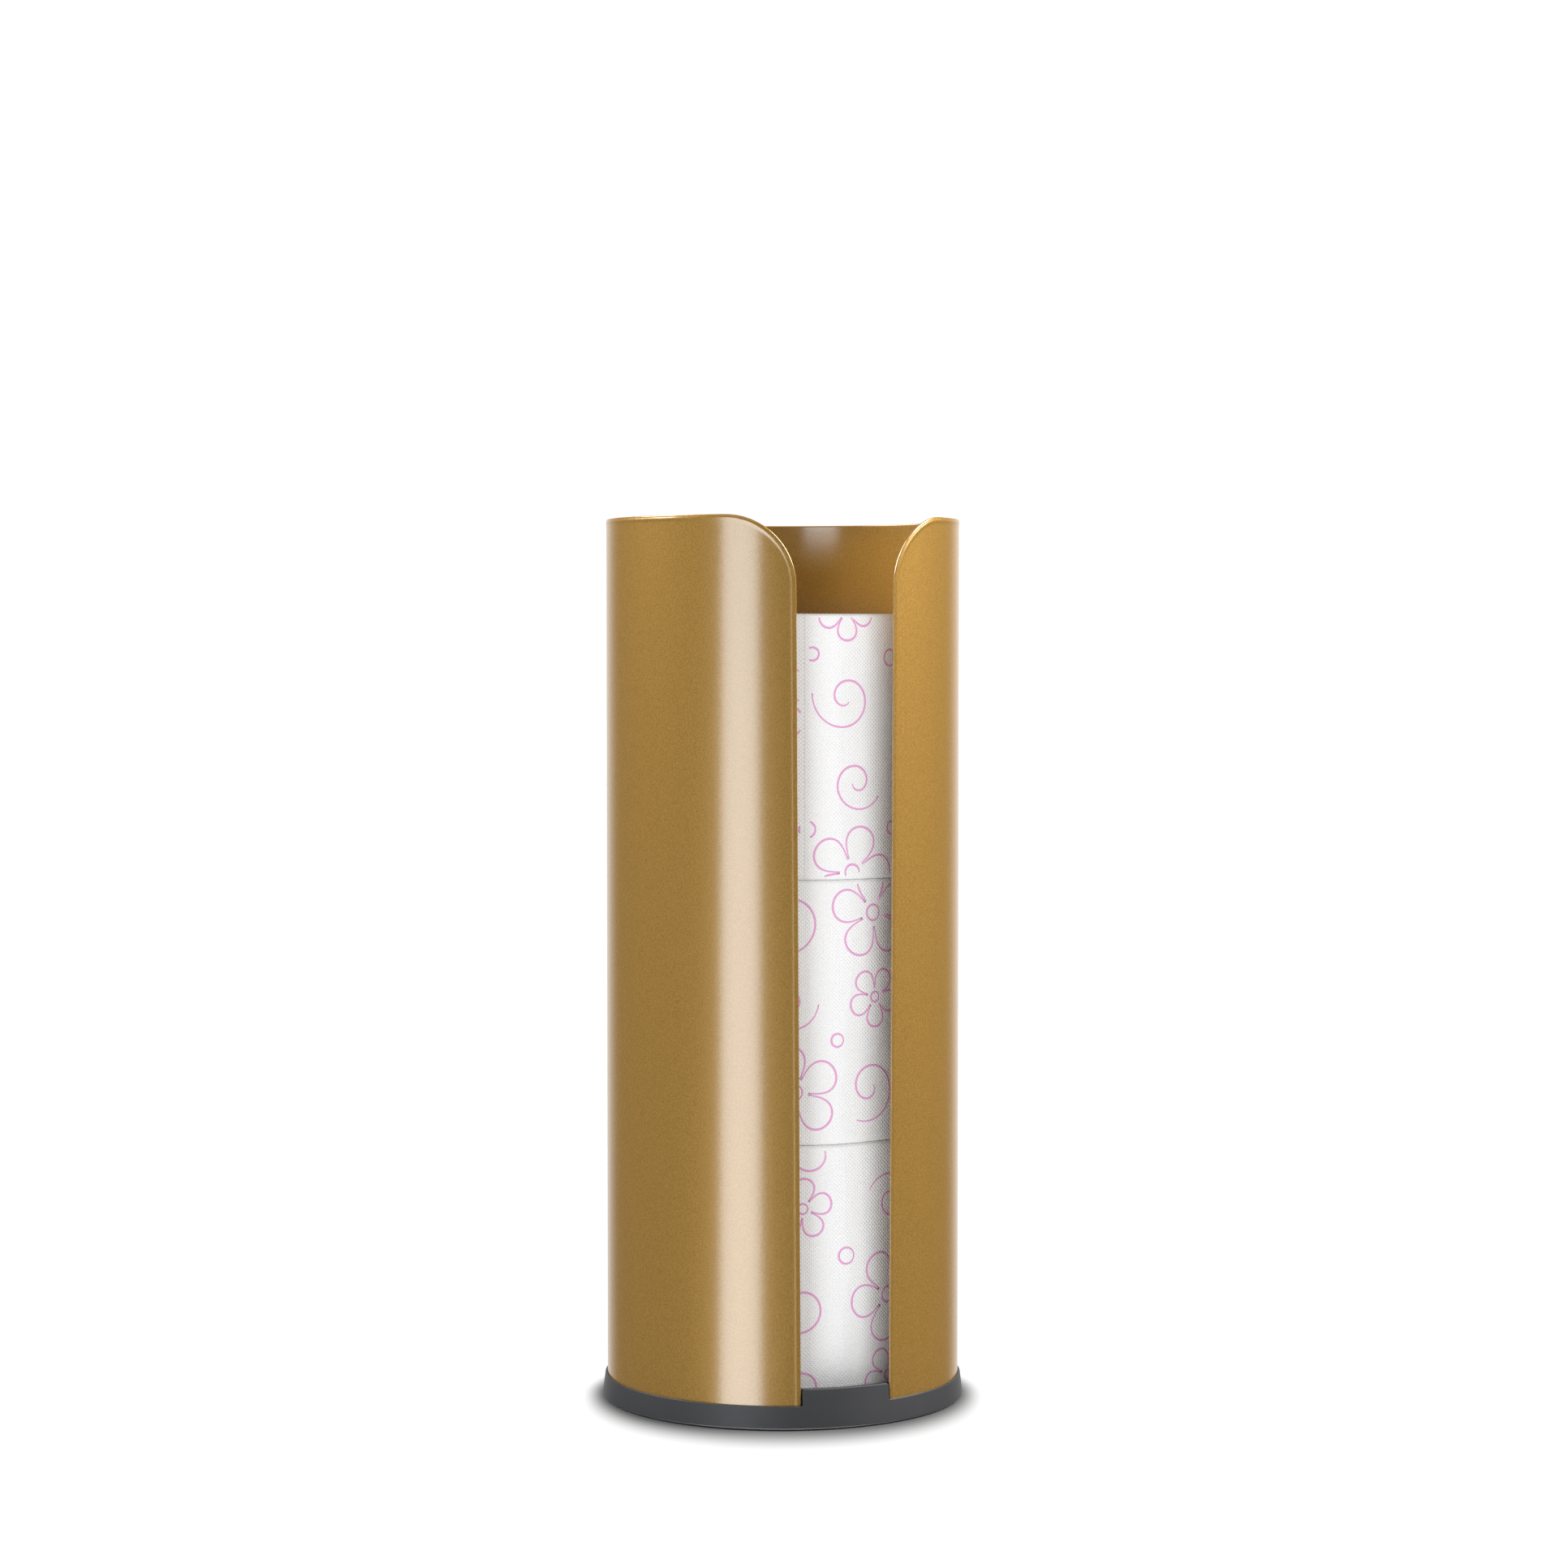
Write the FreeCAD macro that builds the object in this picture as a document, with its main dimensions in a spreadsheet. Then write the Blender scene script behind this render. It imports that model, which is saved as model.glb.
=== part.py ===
import FreeCAD, Part
import os
import Sketcher

# Driving sizes in millimetres; heights are measured up from the floor that the holder stands on
SIZES = (
    ("roll_height", "96.6", "one toilet roll"),
    ("roll_diameter", "109.4", "one toilet roll, under its loose tail"),
    ("roll_edge_bevel", "0.9", "soft edges of a roll"),
    ("tail_thickness", "0.4", "loose end of the paper"),
    ("core_diameter", "43", "outside of the cardboard tube"),
    ("core_wall", "1", "wall of the cardboard tube"),
    ("core_gap", "0.05", "clearance between paper and tube"),
    ("roll_room", "10.15", "space between a roll and the shell"),
    ("headroom", "35.6", "rim of the shell above the top roll"),
    ("shell_wall", "1", "sheet thickness"),
    ("shell_edge_round", "0.35", "rounding of the sheet's free edges"),
    ("slot_width_top", "38.2", "chord of the front slot at the rim"),
    ("slot_width_foot", "34.6", "chord of the front slot at its foot"),
    ("slot_corner_radius", "26", "rounded corners beside the slot's mouth"),
    ("window_width", "11", "catch window in the shell"),
    ("window_height", "2.6", "catch window in the shell"),
    ("window_cover", "1.4", "how far the base's rim stands above the windows"),
    ("rim_wall", "0.7", "plastic outside the shell at the base's rim"),
    ("rim_height", "8.7", "rim of the base"),
    ("skirt_flare", "1.05", "how far the skirt's foot stands out beyond the rim"),
    ("skirt_wall", "2.2", "wall of the skirt at its foot"),
    ("skirt_foot_height", "0.5", "lower edge of the skirt"),
    ("skirt_foot_round", "0.6", "rounding of the skirt's lower edge"),
    ("rim_edge_round", "0.25", "rounding of the rim's and the tab's outer edge"),
    ("groove_floor_height", "3", "seat of the shell's lower edge"),
    ("groove_bottom_wall", "1.6", "plastic under the groove"),
    ("groove_gap", "0.15", "clearance on each face of the sheet"),
    ("upstand_wall", "1.4", "ring inside the shell"),
    ("floor_height", "4.6", "face that the lowest roll stands on"),
    ("floor_wall", "2", "plate of the base"),
    ("tab_rise", "5.9", "top of the upstand and of the front tab, above the rim"),
    ("tab_gap", "0.5", "clearance between the tab and each slot edge"),
    ("tab_corner_round", "1.2", "upper corners of the tab"),
    ("tab_root_round", "0.6", "hollow corners between tab and rim"),
    ("barb_catch", "0.6", "reach of a barb into its window"),
    ("barb_gap", "0.2", "clearance round a barb in its window"),
    ("barb_land", "0.6", "height of a barb's blunt nose"),
    ("rib_wall", "1.2", "stiffening ribs under the base"),
    ("rib_foot_height", "1", "lower edge of the ribs"),
    ("hub_diameter", "24", "ring that the ribs start from"),
    ("pad_diameter", "14", "rubber pad"),
    ("pad_thickness", "1.4", "rubber pad, from the floor to its seat"),
    ("pad_edge_round", "0.4", "rounding of a pad's lower edge"),
    ("pad_gap", "0.15", "clearance round a pad in its cup"),
    ("cup_wall", "1.4", "wall of a pad's cup"),
    ("cup_foot_height", "0.8", "lower edge of a pad's cup"),
    ("cup_inset", "5.15", "distance from a pad's cup to the upstand"),
    ("overrun", "3", "how far cutting tools run past a face"),
)

# Counts, and angles in degrees from the middle of the slot
COUNTS = (
    ("catch_count", "3", "catches at the sides and back of the base"),
    ("rib_count", "12", "ribs under the base"),
    ("top_tail_angle", "-12.5", "loose end of the top roll"),
    ("middle_tail_angle", "74", "loose end of the middle roll"),
    ("bottom_tail_angle", "151", "loose end of the bottom roll"),
)
ROLLS = ("bottom", "middle", "top")
PADS = ("back_right", "back_left", "front_left", "front_right")

document = FreeCAD.newDocument("toilet_roll_holder")
sheet = document.addObject("Spreadsheet::Sheet", "sizes")
for row, (alias, value, meaning) in enumerate(SIZES + COUNTS, start=1):
    sheet.set(f"A{row}", value)
    sheet.setAlias(f"A{row}", alias)
    sheet.set(f"B{row}", meaning)
document.recompute()

# Radii and heights shared by the pieces, as expressions on the sheet
ROLL_RADIUS = "sizes.roll_diameter / 2"
CORE_RADIUS = "sizes.core_diameter / 2"
SHELL_INNER = f"({ROLL_RADIUS} + sizes.tail_thickness + sizes.roll_room)"
SHELL_OUTER = f"({SHELL_INNER} + sizes.shell_wall)"
SHELL_TOP = f"(sizes.floor_height + {len(ROLLS)} * sizes.roll_height + sizes.headroom)"
GROOVE_OUTER = f"({SHELL_OUTER} + sizes.groove_gap)"
GROOVE_INNER = f"({SHELL_INNER} - sizes.groove_gap)"
UPSTAND_INNER = f"({GROOVE_INNER} - sizes.upstand_wall)"
WINDOW_TOP = "(sizes.rim_height - sizes.window_cover)"
WINDOW_SILL = f"({WINDOW_TOP} - sizes.window_height)"
RIM_RADIUS = f"({GROOVE_OUTER} + sizes.rim_wall)"
FOOT_RADIUS = f"({RIM_RADIUS} + sizes.skirt_flare)"
SKIRT_SLOPE = "sizes.skirt_flare / (sizes.rim_height - sizes.skirt_foot_height)"
TAB_TOP = "(sizes.rim_height + sizes.tab_rise)"
TAB_RADIUS = f"({RIM_RADIUS} - {SKIRT_SLOPE} * sizes.tab_rise)"
TAB_HALF_WIDTH = "(sizes.slot_width_foot / 2 - sizes.tab_gap)"
TAB_CORNER_LIMIT_SHARE = "0.9"
TAB_CORNER = f"min(sizes.tab_corner_round; {TAB_CORNER_LIMIT_SHARE} * sizes.upstand_wall)"
FLOOR_UNDERSIDE = "(sizes.floor_height - sizes.floor_wall)"
CUP_RADIUS = "(sizes.pad_diameter / 2 + sizes.pad_gap + sizes.cup_wall)"
PAD_CIRCLE = f"({UPSTAND_INNER} - sizes.cup_inset - {CUP_RADIUS})"

# Sketcher's names for the points of a line or arc, and for the axes and the origin
EDGE, START, END, CENTRE = range(4)
HORIZONTAL_AXIS, VERTICAL_AXIS = range(-1, -3, -1)
ORIGIN, ORIGIN_POINT = HORIZONTAL_AXIS, START


def number(expression):
    """The present value of an expression on the sheet."""
    value = sheet.evalExpression(expression)
    return float(getattr(value, "Value", value))


def new_body(label):
    body = document.addObject("PartDesign::Body", label)
    body.Label = label
    return body


def origin_feature(body, role):
    return next(feature for feature in body.Origin.OriginFeatures if feature.Role == role)


def new_sketch(body, name, plane, height=None, turn=None):
    """A sketch on one of the body's planes, lifted off it or turned about its upright axis."""
    sketch = body.newObject("Sketcher::SketchObject", name)
    sketch.AttachmentSupport = (origin_feature(body, plane), [""])
    sketch.MapMode = "FlatFace"
    if height:
        sketch.setExpression("AttachmentOffset.Base.z", height)
    if turn:
        upright = FreeCAD.Rotation(FreeCAD.Vector(0, 1, 0), number(turn))
        sketch.AttachmentOffset = FreeCAD.Placement(FreeCAD.Vector(), upright)
        sketch.setExpression("AttachmentOffset.Rotation.Angle", turn)
    return sketch


def bind(sketch, expression, kind, *where):
    """A dimension whose value follows the sheet."""
    index = sketch.addConstraint(Sketcher.Constraint(kind, *where, number(expression)))
    sketch.setExpression(f"Constraints[{index}]", expression)


def pin(sketch, geometry, point, kind, expression):
    """Place one coordinate of a point, on either side of the origin."""
    value = number(expression)
    if value == 0:
        axis = VERTICAL_AXIS if kind == "DistanceX" else HORIZONTAL_AXIS
        sketch.addConstraint(Sketcher.Constraint("PointOnObject", geometry, point, axis))
    elif value > 0:
        bind(sketch, expression, kind, ORIGIN, ORIGIN_POINT, geometry, point)
    else:
        bind(sketch, f"-({expression})", kind, geometry, point, ORIGIN, ORIGIN_POINT)


def pin_point(sketch, geometry, point, corner):
    pin(sketch, geometry, point, "DistanceX", corner[0])
    pin(sketch, geometry, point, "DistanceY", corner[1])


def place(corner):
    return FreeCAD.Vector(number(corner[0]), number(corner[1]), 0)


def add_polygon(sketch, corners):
    """A closed outline of straight lines through corners given as expressions."""
    lines = [
        sketch.addGeometry(Part.LineSegment(place(first), place(second)))
        for first, second in zip(corners, corners[1:] + corners[:1])
    ]
    for line, following in zip(lines, lines[1:] + lines[:1]):
        sketch.addConstraint(Sketcher.Constraint("Coincident", line, END, following, START))
    for line, corner in zip(lines, corners):
        pin_point(sketch, line, START, corner)


def add_circle(sketch, radius, centre=("0", "0")):
    circle = sketch.addGeometry(
        Part.Circle(place(centre), FreeCAD.Vector(0, 0, 1), number(radius))
    )
    if number(centre[0]) == 0 and number(centre[1]) == 0:
        sketch.addConstraint(
            Sketcher.Constraint("Coincident", circle, CENTRE, ORIGIN, ORIGIN_POINT)
        )
    else:
        pin_point(sketch, circle, CENTRE, centre)
    bind(sketch, radius, "Radius", circle)


def finish_feature(body, feature):
    body.Tip = feature
    document.recompute()
    return feature


def add_extrusion(body, kind, name, sketch, length, reverse=False, symmetric=False):
    feature = body.newObject(f"PartDesign::{kind}", name)
    feature.Profile = sketch
    feature.setExpression("Length", length)
    feature.Reversed = reverse
    feature.SideType = "Symmetric" if symmetric else "One side"
    return finish_feature(body, feature)


def add_revolved(body, kind, name, sketch):
    """A full turn of a profile about the body's upright axis."""
    feature = body.newObject(f"PartDesign::{kind}", name)
    feature.Profile = sketch
    feature.ReferenceAxis = (origin_feature(body, "Z_Axis"), [""])
    return finish_feature(body, feature)


def add_polar_pattern(body, name, original, count, angle="360"):
    pattern = body.newObject("PartDesign::PolarPattern", name)
    pattern.Originals = [original]
    pattern.Axis = (origin_feature(body, "Z_Axis"), [""])
    pattern.setExpression("Angle", angle)
    pattern.setExpression("Occurrences", count)
    return finish_feature(body, pattern)


def add_fillet(body, name, radius, wanted):
    """Round those edges of the body so far that the given test picks out."""
    tip = body.Tip
    edges = [f"Edge{i}" for i, edge in enumerate(tip.Shape.Edges, start=1) if wanted(edge)]
    fillet = body.newObject("PartDesign::Fillet", name)
    fillet.Base = (tip, edges)
    fillet.setExpression("Radius", radius)
    return finish_feature(body, fillet)


def middle_of(edge):
    """Point halfway along an edge."""
    return edge.valueAt((edge.FirstParameter + edge.LastParameter) / 2)


def same(first, second):
    """Equal to within the smallest rounding in the part."""
    return abs(first - second) < number("sizes.rim_edge_round") / 2


def radius_of(point):
    return (point.x ** 2 + point.y ** 2) ** 0.5


# Shell: a sheet rolled to an open tube, with a tapering front slot that widens at its mouth
def make_shell():
    body = new_body("shell")

    section = new_sketch(body, "shell_section", "XY_Plane", height="sizes.groove_floor_height")
    add_circle(section, SHELL_OUTER)
    add_circle(section, SHELL_INNER)
    add_extrusion(
        body, "Pad", "shell_tube", section, f"{SHELL_TOP} - sizes.groove_floor_height"
    )

    half_angle_top = f"asin(sizes.slot_width_top / 2 / ({SHELL_OUTER}))"
    half_angle_foot = f"asin(sizes.slot_width_foot / 2 / ({SHELL_OUTER}))"
    middle_angle = f"(({half_angle_top} + {half_angle_foot}) / 2)"
    edge_top = (f"{SHELL_OUTER} * sin({half_angle_top} - {middle_angle})", SHELL_TOP)
    edge_foot = (
        f"{SHELL_OUTER} * sin({half_angle_foot} - {middle_angle})",
        "sizes.groove_floor_height - sizes.overrun",
    )
    half = new_sketch(body, "slot_half", "XZ_Plane", turn=middle_angle)
    add_slot_outline(half, edge_top, edge_foot)
    cut = add_extrusion(
        body, "Pocket", "slot_cut", half, f"{SHELL_OUTER} + sizes.overrun", reverse=True
    )
    mirrored = body.newObject("PartDesign::Mirrored", "slot_both_sides")
    mirrored.Originals = [cut]
    mirrored.MirrorPlane = (origin_feature(body, "YZ_Plane"), [""])
    finish_feature(body, mirrored)

    window = new_sketch(body, "catch_window", "YZ_Plane")
    half_window = "sizes.window_width / 2"
    add_polygon(window, [
        (f"-{half_window}", WINDOW_SILL),
        (half_window, WINDOW_SILL),
        (half_window, WINDOW_TOP),
        (f"-{half_window}", WINDOW_TOP),
    ])
    window_cut = add_extrusion(
        body, "Pocket", "window_cut", window, f"{SHELL_OUTER} + sizes.overrun", reverse=True
    )
    add_polar_pattern(body, "windows", window_cut, "sizes.catch_count", angle="180")

    def free_edge(edge):
        """Edges along the wall, not across it, above the base."""
        middle = middle_of(edge)
        along_a_face = same(radius_of(middle), number(SHELL_OUTER)) or same(
            radius_of(middle), number(SHELL_INNER)
        )
        top = max(vertex.Z for vertex in edge.Vertexes)
        return along_a_face and top > number(WINDOW_TOP) + number("sizes.overrun")

    add_fillet(body, "shell_free_edges", "sizes.shell_edge_round", free_edge)
    return body


def add_slot_outline(sketch, edge_top, edge_foot):
    """Half of the slot's opening: a slanting edge that an arc carries over into the rim."""
    inner_side = f"-{SHELL_OUTER}/2"
    above = f"{SHELL_TOP} + sizes.overrun"
    corner_height = f"{SHELL_TOP} - sizes.slot_corner_radius"
    corner = (f"{edge_top[0]} + sizes.slot_corner_radius", corner_height)

    guide = sketch.addGeometry(Part.LineSegment(place(edge_foot), place(edge_top)), True)
    pin_point(sketch, guide, START, edge_foot)
    pin_point(sketch, guide, END, edge_top)

    arc_start = place((edge_top[0], corner_height))
    arc_end = place((corner[0], SHELL_TOP))
    far_top = place((corner[0], above))
    near_top = place((inner_side, above))
    near_foot = place((inner_side, edge_foot[1]))
    edge = sketch.addGeometry(Part.LineSegment(place(edge_foot), arc_start))
    circle = Part.Circle(place(corner), FreeCAD.Vector(0, 0, 1), number("sizes.slot_corner_radius"))
    quarter, half_turn = circle.parameter(arc_end), circle.parameter(arc_start)
    arc = sketch.addGeometry(Part.ArcOfCircle(circle, quarter, half_turn))
    rise = sketch.addGeometry(Part.LineSegment(arc_end, far_top))
    lid = sketch.addGeometry(Part.LineSegment(far_top, near_top))
    back = sketch.addGeometry(Part.LineSegment(near_top, near_foot))
    sill = sketch.addGeometry(Part.LineSegment(near_foot, place(edge_foot)))

    for constraint in (
        ("Coincident", edge, START, guide, START),
        ("PointOnObject", edge, END, guide),
        ("Tangent", edge, END, arc, END),
        ("Coincident", arc, START, rise, START),
        ("Vertical", arc, CENTRE, arc, START),
        ("Vertical", rise),
        ("Coincident", rise, END, lid, START),
        ("Horizontal", lid),
        ("Coincident", lid, END, back, START),
        ("Vertical", back),
        ("Coincident", back, END, sill, START),
        ("Horizontal", sill),
        ("Coincident", sill, END, edge, START),
    ):
        sketch.addConstraint(Sketcher.Constraint(*constraint))
    bind(sketch, "sizes.slot_corner_radius", "Radius", arc)
    pin(sketch, arc, CENTRE, "DistanceY", corner_height)
    pin(sketch, rise, END, "DistanceY", above)
    pin(sketch, back, START, "DistanceX", inner_side)


# Base: a moulded dish whose groove holds the shell and whose front tab fills the slot's foot
def make_base():
    body = new_body("base")

    profile = new_sketch(body, "base_profile", "XZ_Plane")
    skirt_inner = f"({FOOT_RADIUS} - sizes.skirt_wall)"
    groove_underside = "sizes.groove_floor_height - sizes.groove_bottom_wall"
    add_polygon(profile, [
        ("0", FLOOR_UNDERSIDE),
        (UPSTAND_INNER, FLOOR_UNDERSIDE),
        (UPSTAND_INNER, groove_underside),
        (skirt_inner, groove_underside),
        (skirt_inner, "sizes.skirt_foot_height"),
        (FOOT_RADIUS, "sizes.skirt_foot_height"),
        (TAB_RADIUS, TAB_TOP),
        (UPSTAND_INNER, TAB_TOP),
        (UPSTAND_INNER, "sizes.floor_height"),
        ("0", "sizes.floor_height"),
    ])
    add_revolved(body, "Revolution", "base_dish", profile)

    rim = new_sketch(body, "above_rim", "XY_Plane", height=TAB_TOP)
    add_open_ring(rim, GROOVE_INNER, f"{FOOT_RADIUS} + sizes.overrun")
    add_extrusion(body, "Pocket", "rim_cut", rim, "sizes.tab_rise")
    round_base(body)

    groove = new_sketch(body, "shell_groove", "XY_Plane", height=TAB_TOP)
    add_open_ring(groove, GROOVE_INNER, GROOVE_OUTER)
    add_extrusion(
        body, "Pocket", "groove_cut", groove, f"{TAB_TOP} - sizes.groove_floor_height"
    )
    add_barbs(body)
    add_underside(body)
    return body


def add_open_ring(sketch, inner, outer):
    """A ring between two radii with a parallel-sided break at the front, where the tab stands."""
    half_width = number(TAB_HALF_WIDTH)
    arcs = []
    for radius in (inner, outer):
        size = number(radius)
        circle = Part.Circle(FreeCAD.Vector(), FreeCAD.Vector(0, 0, 1), size)
        depth = (size ** 2 - half_width ** 2) ** 0.5
        first = circle.parameter(FreeCAD.Vector(half_width, -depth, 0))
        last = circle.parameter(FreeCAD.Vector(-half_width, -depth, 0))
        full_turn = circle.LastParameter - circle.FirstParameter
        arcs.append(sketch.addGeometry(Part.ArcOfCircle(circle, first - full_turn, last)))
    for arc, radius in zip(arcs, (inner, outer)):
        sketch.addConstraint(Sketcher.Constraint("Coincident", arc, CENTRE, ORIGIN, ORIGIN_POINT))
        bind(sketch, radius, "Radius", arc)
    for end, sign in ((START, ""), (END, "-")):
        points = [sketch.getPoint(arc, end) for arc in arcs]
        side = sketch.addGeometry(Part.LineSegment(*points))
        sketch.addConstraint(Sketcher.Constraint("Coincident", side, START, arcs[0], end))
        sketch.addConstraint(Sketcher.Constraint("Coincident", side, END, arcs[1], end))
        sketch.addConstraint(Sketcher.Constraint("Vertical", side))
        pin(sketch, side, START, "DistanceX", f"{sign}{TAB_HALF_WIDTH}")


def round_base(body):
    """Soften the edges that a hand or an eye meets."""
    half_width = number(TAB_HALF_WIDTH)
    tab_height = number(TAB_TOP)
    rim_height = number("sizes.rim_height")

    def on_tab_side(edge):
        points = [vertex.Point for vertex in edge.Vertexes] + [middle_of(edge)]
        return all(same(abs(point.x), half_width) and point.y < 0 for point in points)

    def tab_corner(edge):
        return on_tab_side(edge) and all(same(vertex.Z, tab_height) for vertex in edge.Vertexes)

    def tab_root(edge):
        return on_tab_side(edge) and all(same(vertex.Z, rim_height) for vertex in edge.Vertexes)

    def foot_edge(edge):
        return same(middle_of(edge).z, number("sizes.skirt_foot_height")) and same(
            radius_of(middle_of(edge)), number(FOOT_RADIUS)
        )

    def outer_edge(edge):
        middle = middle_of(edge)
        skirt = number(RIM_RADIUS) - number(SKIRT_SLOPE) * (middle.z - rim_height)
        above_skirt = middle.z > rim_height or same(middle.z, rim_height)
        return above_skirt and same(radius_of(middle), skirt)

    add_fillet(body, "tab_corners", TAB_CORNER, tab_corner)
    add_fillet(body, "tab_roots", "sizes.tab_root_round", tab_root)
    add_fillet(body, "base_foot_edge", "sizes.skirt_foot_round", foot_edge)
    add_fillet(body, "base_outer_edge", "sizes.rim_edge_round", outer_edge)


def add_barbs(body):
    """Wedges on the upstand that snap into the shell's windows."""
    barb = new_sketch(body, "barb_profile", "XZ_Plane")
    root = f"{GROOVE_INNER} - sizes.upstand_wall / 2"
    nose = f"{SHELL_INNER} + sizes.barb_catch"
    under = f"{WINDOW_SILL} + sizes.barb_gap"
    add_polygon(barb, [
        (root, under),
        (nose, under),
        (nose, f"{under} + sizes.barb_land"),
        (root, f"{WINDOW_TOP} - sizes.barb_gap"),
    ])
    width = "sizes.window_width - 2 * sizes.barb_gap"
    pad = add_extrusion(body, "Pad", "barb", barb, width, symmetric=True)
    add_polar_pattern(body, "barbs", pad, "sizes.catch_count", angle="180")


def add_underside(body):
    """Ribs, hub ring and pad cups under the plate."""
    rib_depth = f"{FLOOR_UNDERSIDE} + sizes.floor_wall / 2 - sizes.rib_foot_height"
    hub_radius = "sizes.hub_diameter / 2"
    hub = new_sketch(body, "hub_section", "XY_Plane", height="sizes.rib_foot_height")
    add_circle(hub, hub_radius)
    add_circle(hub, f"{hub_radius} - sizes.rib_wall")
    add_extrusion(body, "Pad", "hub", hub, rib_depth)

    rib = new_sketch(body, "rib_section", "XY_Plane", height="sizes.rib_foot_height")
    half_wall = "sizes.rib_wall / 2"
    rib_start = f"{hub_radius} - {half_wall}"
    rib_end = f"{UPSTAND_INNER} + sizes.upstand_wall / 2"
    add_polygon(rib, [
        (rib_start, f"-{half_wall}"),
        (rib_end, f"-{half_wall}"),
        (rib_end, half_wall),
        (rib_start, half_wall),
    ])
    rib_pad = add_extrusion(body, "Pad", "rib", rib, rib_depth)
    add_polar_pattern(body, "ribs", rib_pad, "sizes.rib_count")

    pad_place = pad_centre()
    cup = new_sketch(body, "cup_section", "XY_Plane", height="sizes.cup_foot_height")
    add_circle(cup, CUP_RADIUS, pad_place)
    cup_depth = f"{FLOOR_UNDERSIDE} + sizes.floor_wall / 2 - sizes.cup_foot_height"
    cup_pad = add_extrusion(body, "Pad", "cup", cup, cup_depth)
    add_polar_pattern(body, "cups", cup_pad, f"{len(PADS)}")

    seat = new_sketch(body, "pad_seat", "XY_Plane", height="sizes.pad_thickness")
    add_circle(seat, "sizes.pad_diameter / 2 + sizes.pad_gap", pad_place)
    seat_cut = add_extrusion(
        body, "Pocket", "pad_seat_cut", seat, "sizes.pad_thickness + sizes.overrun"
    )
    add_polar_pattern(body, "pad_seats", seat_cut, f"{len(PADS)}")


def pad_centre():
    """Centre of the first pad, halfway between the right-hand side of the base and its back."""
    angle = f"(180 deg / {len(PADS)})"
    return (f"{PAD_CIRCLE} * cos({angle})", f"{PAD_CIRCLE} * sin({angle})")


# Pads: rubber discs that lift the base's skirt just off the floor
def make_pad(name, quarter):
    """A pad drawn at the first place and turned to its own quarter of the base."""
    body = new_body(f"{name}_pad")
    disc = new_sketch(body, f"{name}_pad_section", "XY_Plane")
    add_circle(disc, "sizes.pad_diameter / 2", pad_centre())
    add_extrusion(body, "Pad", f"{name}_pad_disc", disc, "sizes.pad_thickness")

    def lower_edge(edge):
        return same(middle_of(edge).z, 0)

    add_fillet(body, f"{name}_pad_lower_edge", "sizes.pad_edge_round", lower_edge)
    body.setExpression("Placement.Rotation.Angle", f"{quarter} * 360 deg / {len(PADS)}")
    return body


def make_pads():
    return [make_pad(name, quarter) for quarter, name in enumerate(PADS)]


# Rolls: paper wound on a cardboard tube, each standing on the one below
def make_paper(name, level, tail_angle):
    body = new_body(f"{name}_roll_paper")
    outline = new_sketch(body, f"{name}_outline", "XY_Plane")
    add_spiral(outline)
    add_circle(outline, f"{CORE_RADIUS} + sizes.core_gap")
    add_extrusion(body, "Pad", f"{name}_winding", outline, "sizes.roll_height")

    bevels = new_sketch(body, f"{name}_bevels", "XZ_Plane")
    outside = f"{ROLL_RADIUS} + sizes.tail_thickness"
    for face, away in (("sizes.roll_height", "+"), ("0", "-")):
        into = "-" if away == "+" else "+"
        add_polygon(bevels, [
            (f"{outside} - sizes.roll_edge_bevel - sizes.overrun", f"{face} {away} sizes.overrun"),
            (f"{outside} + sizes.roll_edge_bevel", f"{face} {away} sizes.overrun"),
            (f"{outside} + sizes.roll_edge_bevel", f"{face} {into} 2 * sizes.roll_edge_bevel"),
        ])
    add_revolved(body, "Groove", f"{name}_edges", bevels)
    stand(body, level)
    body.setExpression("Placement.Rotation.Angle", f"{tail_angle} * 1 deg")
    return body


def add_spiral(sketch):
    """The outermost turn as two half circles, whose ends leave the step of the loose tail."""
    large = f"({ROLL_RADIUS} + sizes.tail_thickness)"
    small = f"({ROLL_RADIUS} + sizes.tail_thickness / 2)"
    offset = number("sizes.tail_thickness") / 2
    down, up = FreeCAD.Vector(0, -1, 0), FreeCAD.Vector(0, 1, 0)
    half_turn = Part.Circle().LastParameter / 2
    arcs = []
    for radius, centre, first in ((large, 0, -half_turn / 2), (small, offset, half_turn / 2)):
        circle = Part.Circle(up * centre, FreeCAD.Vector(0, 0, 1), number(radius))
        arcs.append(sketch.addGeometry(Part.ArcOfCircle(circle, first, first + half_turn)))
    step = sketch.addGeometry(
        Part.LineSegment(down * (number(small) - offset), down * number(large))
    )
    outer, inner = arcs
    for constraint in (
        ("Coincident", outer, CENTRE, ORIGIN, ORIGIN_POINT),
        ("Tangent", outer, END, inner, START),
        ("Coincident", inner, END, step, START),
        ("Coincident", step, END, outer, START),
        ("PointOnObject", outer, START, VERTICAL_AXIS),
        ("PointOnObject", outer, END, VERTICAL_AXIS),
        ("PointOnObject", inner, END, VERTICAL_AXIS),
    ):
        sketch.addConstraint(Sketcher.Constraint(*constraint))
    bind(sketch, large, "Radius", outer)
    bind(sketch, small, "Radius", inner)


def make_core(name, level):
    body = new_body(f"{name}_roll_core")
    section = new_sketch(body, f"{name}_core_section", "XY_Plane")
    add_circle(section, CORE_RADIUS)
    add_circle(section, f"{CORE_RADIUS} - sizes.core_wall")
    add_extrusion(body, "Pad", f"{name}_core_tube", section, "sizes.roll_height")
    stand(body, level)
    return body


def stand(body, level):
    """Stand a roll's piece on the base's floor, above as many rolls as its level says."""
    body.setExpression("Placement.Base.z", f"sizes.floor_height + {level} * sizes.roll_height")


def make_rolls():
    pieces = []
    for level, name in enumerate(ROLLS):
        pieces.append(make_paper(name, level, f"sizes.{name}_tail_angle"))
        pieces.append(make_core(name, level))
    return pieces


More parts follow.
